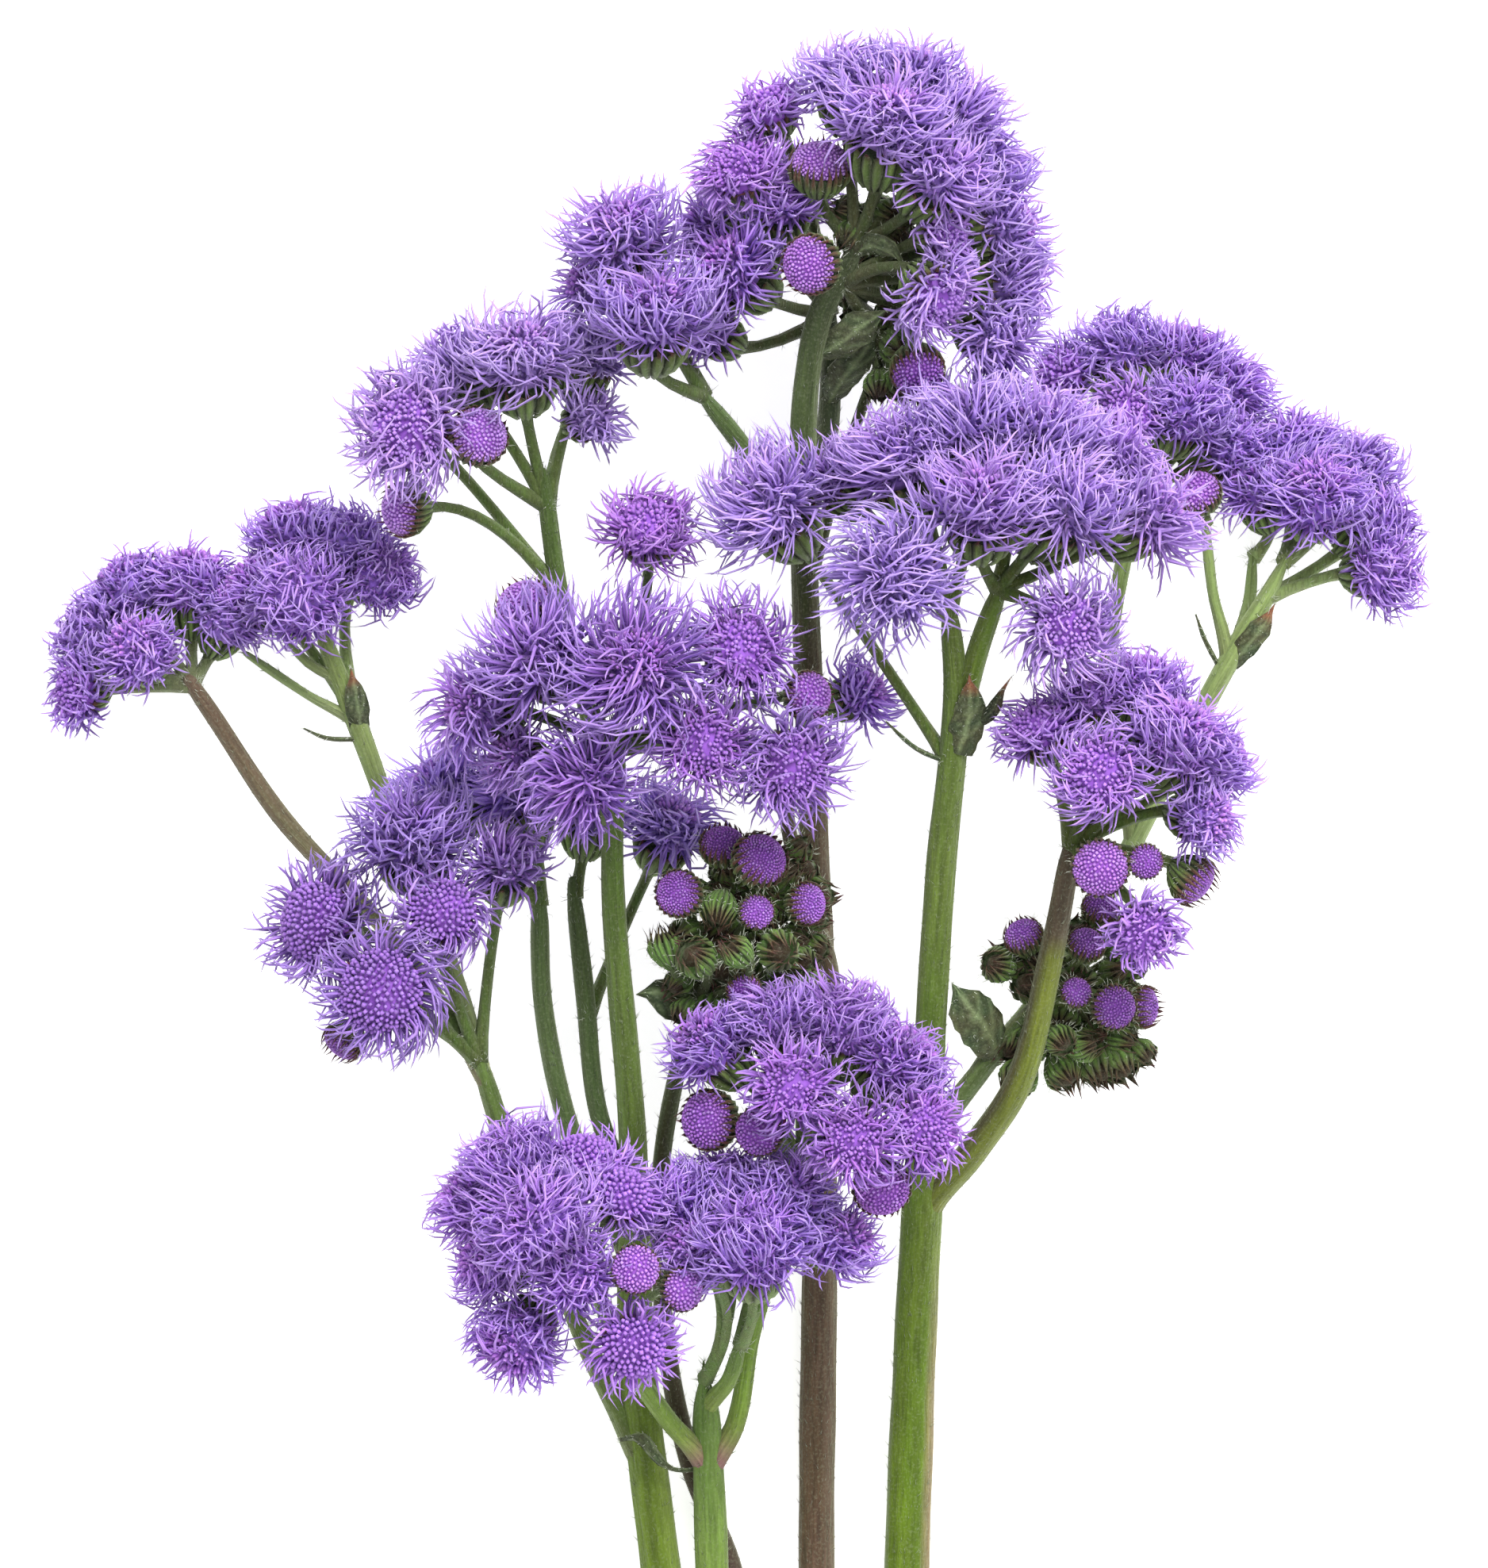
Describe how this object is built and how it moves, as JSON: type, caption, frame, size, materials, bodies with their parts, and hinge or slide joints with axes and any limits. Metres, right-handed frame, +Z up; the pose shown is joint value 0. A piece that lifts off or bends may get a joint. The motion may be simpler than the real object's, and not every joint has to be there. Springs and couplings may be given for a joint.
{
  "type": "bunch of cut flowers",
  "caption": "Loose cut bunch of ageratum lying down: slender branching stems with sprays of fluffy lavender flower heads, round buds and a few small leaves.",
  "frame": {"origin": "middle of the bunch's outline, on the surface that it lies on", "axes": "+Z up away from the surface, +Y from the cut ends towards the flower heads, +X to the right seen from above"},
  "size_m": [0.1303, 0.1692, 0.0446],
  "materials": {
    "left_stem_green": "fresh green plant tissue, finely hairy",
    "front_stem_green": "fresh green plant tissue, finely hairy",
    "bud_stem_brown": "green brown plant tissue, finely hairy",
    "tall_stem_brown": "brown plant tissue, finely hairy",
    "right_stem_green": "bright green plant tissue, finely hairy",
    "lavender_florets": "fluffy lavender violet threads"
  },
  "bodies": {
    "root": {"florets_centre": "lavender_florets", "florets_centre_2": "lavender_florets", "florets_crown": "lavender_florets", "florets_crown_2": "lavender_florets", "florets_crown_3": "lavender_florets", "florets_crown_left": "lavender_florets", "florets_crown_left_2": "lavender_florets", "florets_crown_left_3": "lavender_florets", "florets_crown_left_4": "lavender_florets", "florets_crown_left_5": "lavender_florets", "florets_crown_left_6": "lavender_florets", "florets_crown_left_7": "lavender_florets", "florets_far_left": "lavender_florets", "florets_far_left_2": "lavender_florets", "florets_far_right": "lavender_florets", "florets_far_right_2": "lavender_florets", "florets_left": "lavender_florets", "florets_left_2": "lavender_florets", "florets_left_front": "lavender_florets", "florets_left_front_2": "lavender_florets", "florets_left_front_3": "lavender_florets", "florets_lower_left": "lavender_florets", "florets_lower_left_2": "lavender_florets", "florets_lower_left_3": "lavender_florets", "florets_lower_middle": "lavender_florets", "florets_middle": "lavender_florets", "florets_middle_2": "lavender_florets", "florets_middle_3": "lavender_florets", "florets_middle_back": "lavender_florets", "florets_middle_low": "lavender_florets", "florets_middle_low_2": "lavender_florets", "florets_middle_low_3": "lavender_florets", "florets_middle_low_4": "lavender_florets", "florets_middle_top": "lavender_florets", "florets_right": "lavender_florets", "florets_right_2": "lavender_florets", "florets_right_middle": "lavender_florets", "florets_right_middle_2": "lavender_florets", "florets_right_middle_3": "lavender_florets", "florets_right_middle_4": "lavender_florets", "florets_right_middle_5": "lavender_florets", "florets_stray": "lavender_florets", "florets_upper_left": "lavender_florets", "florets_upper_left_2": "lavender_florets", "florets_upper_left_3": "lavender_florets", "florets_upper_left_4": "lavender_florets", "florets_upper_middle": "lavender_florets", "stem_buds": "bud_stem_brown", "stem_front": "front_stem_green", "stem_left": "left_stem_green", "stem_right": "right_stem_green", "stem_tall": "tall_stem_brown"}
  },
  "joints": []
}
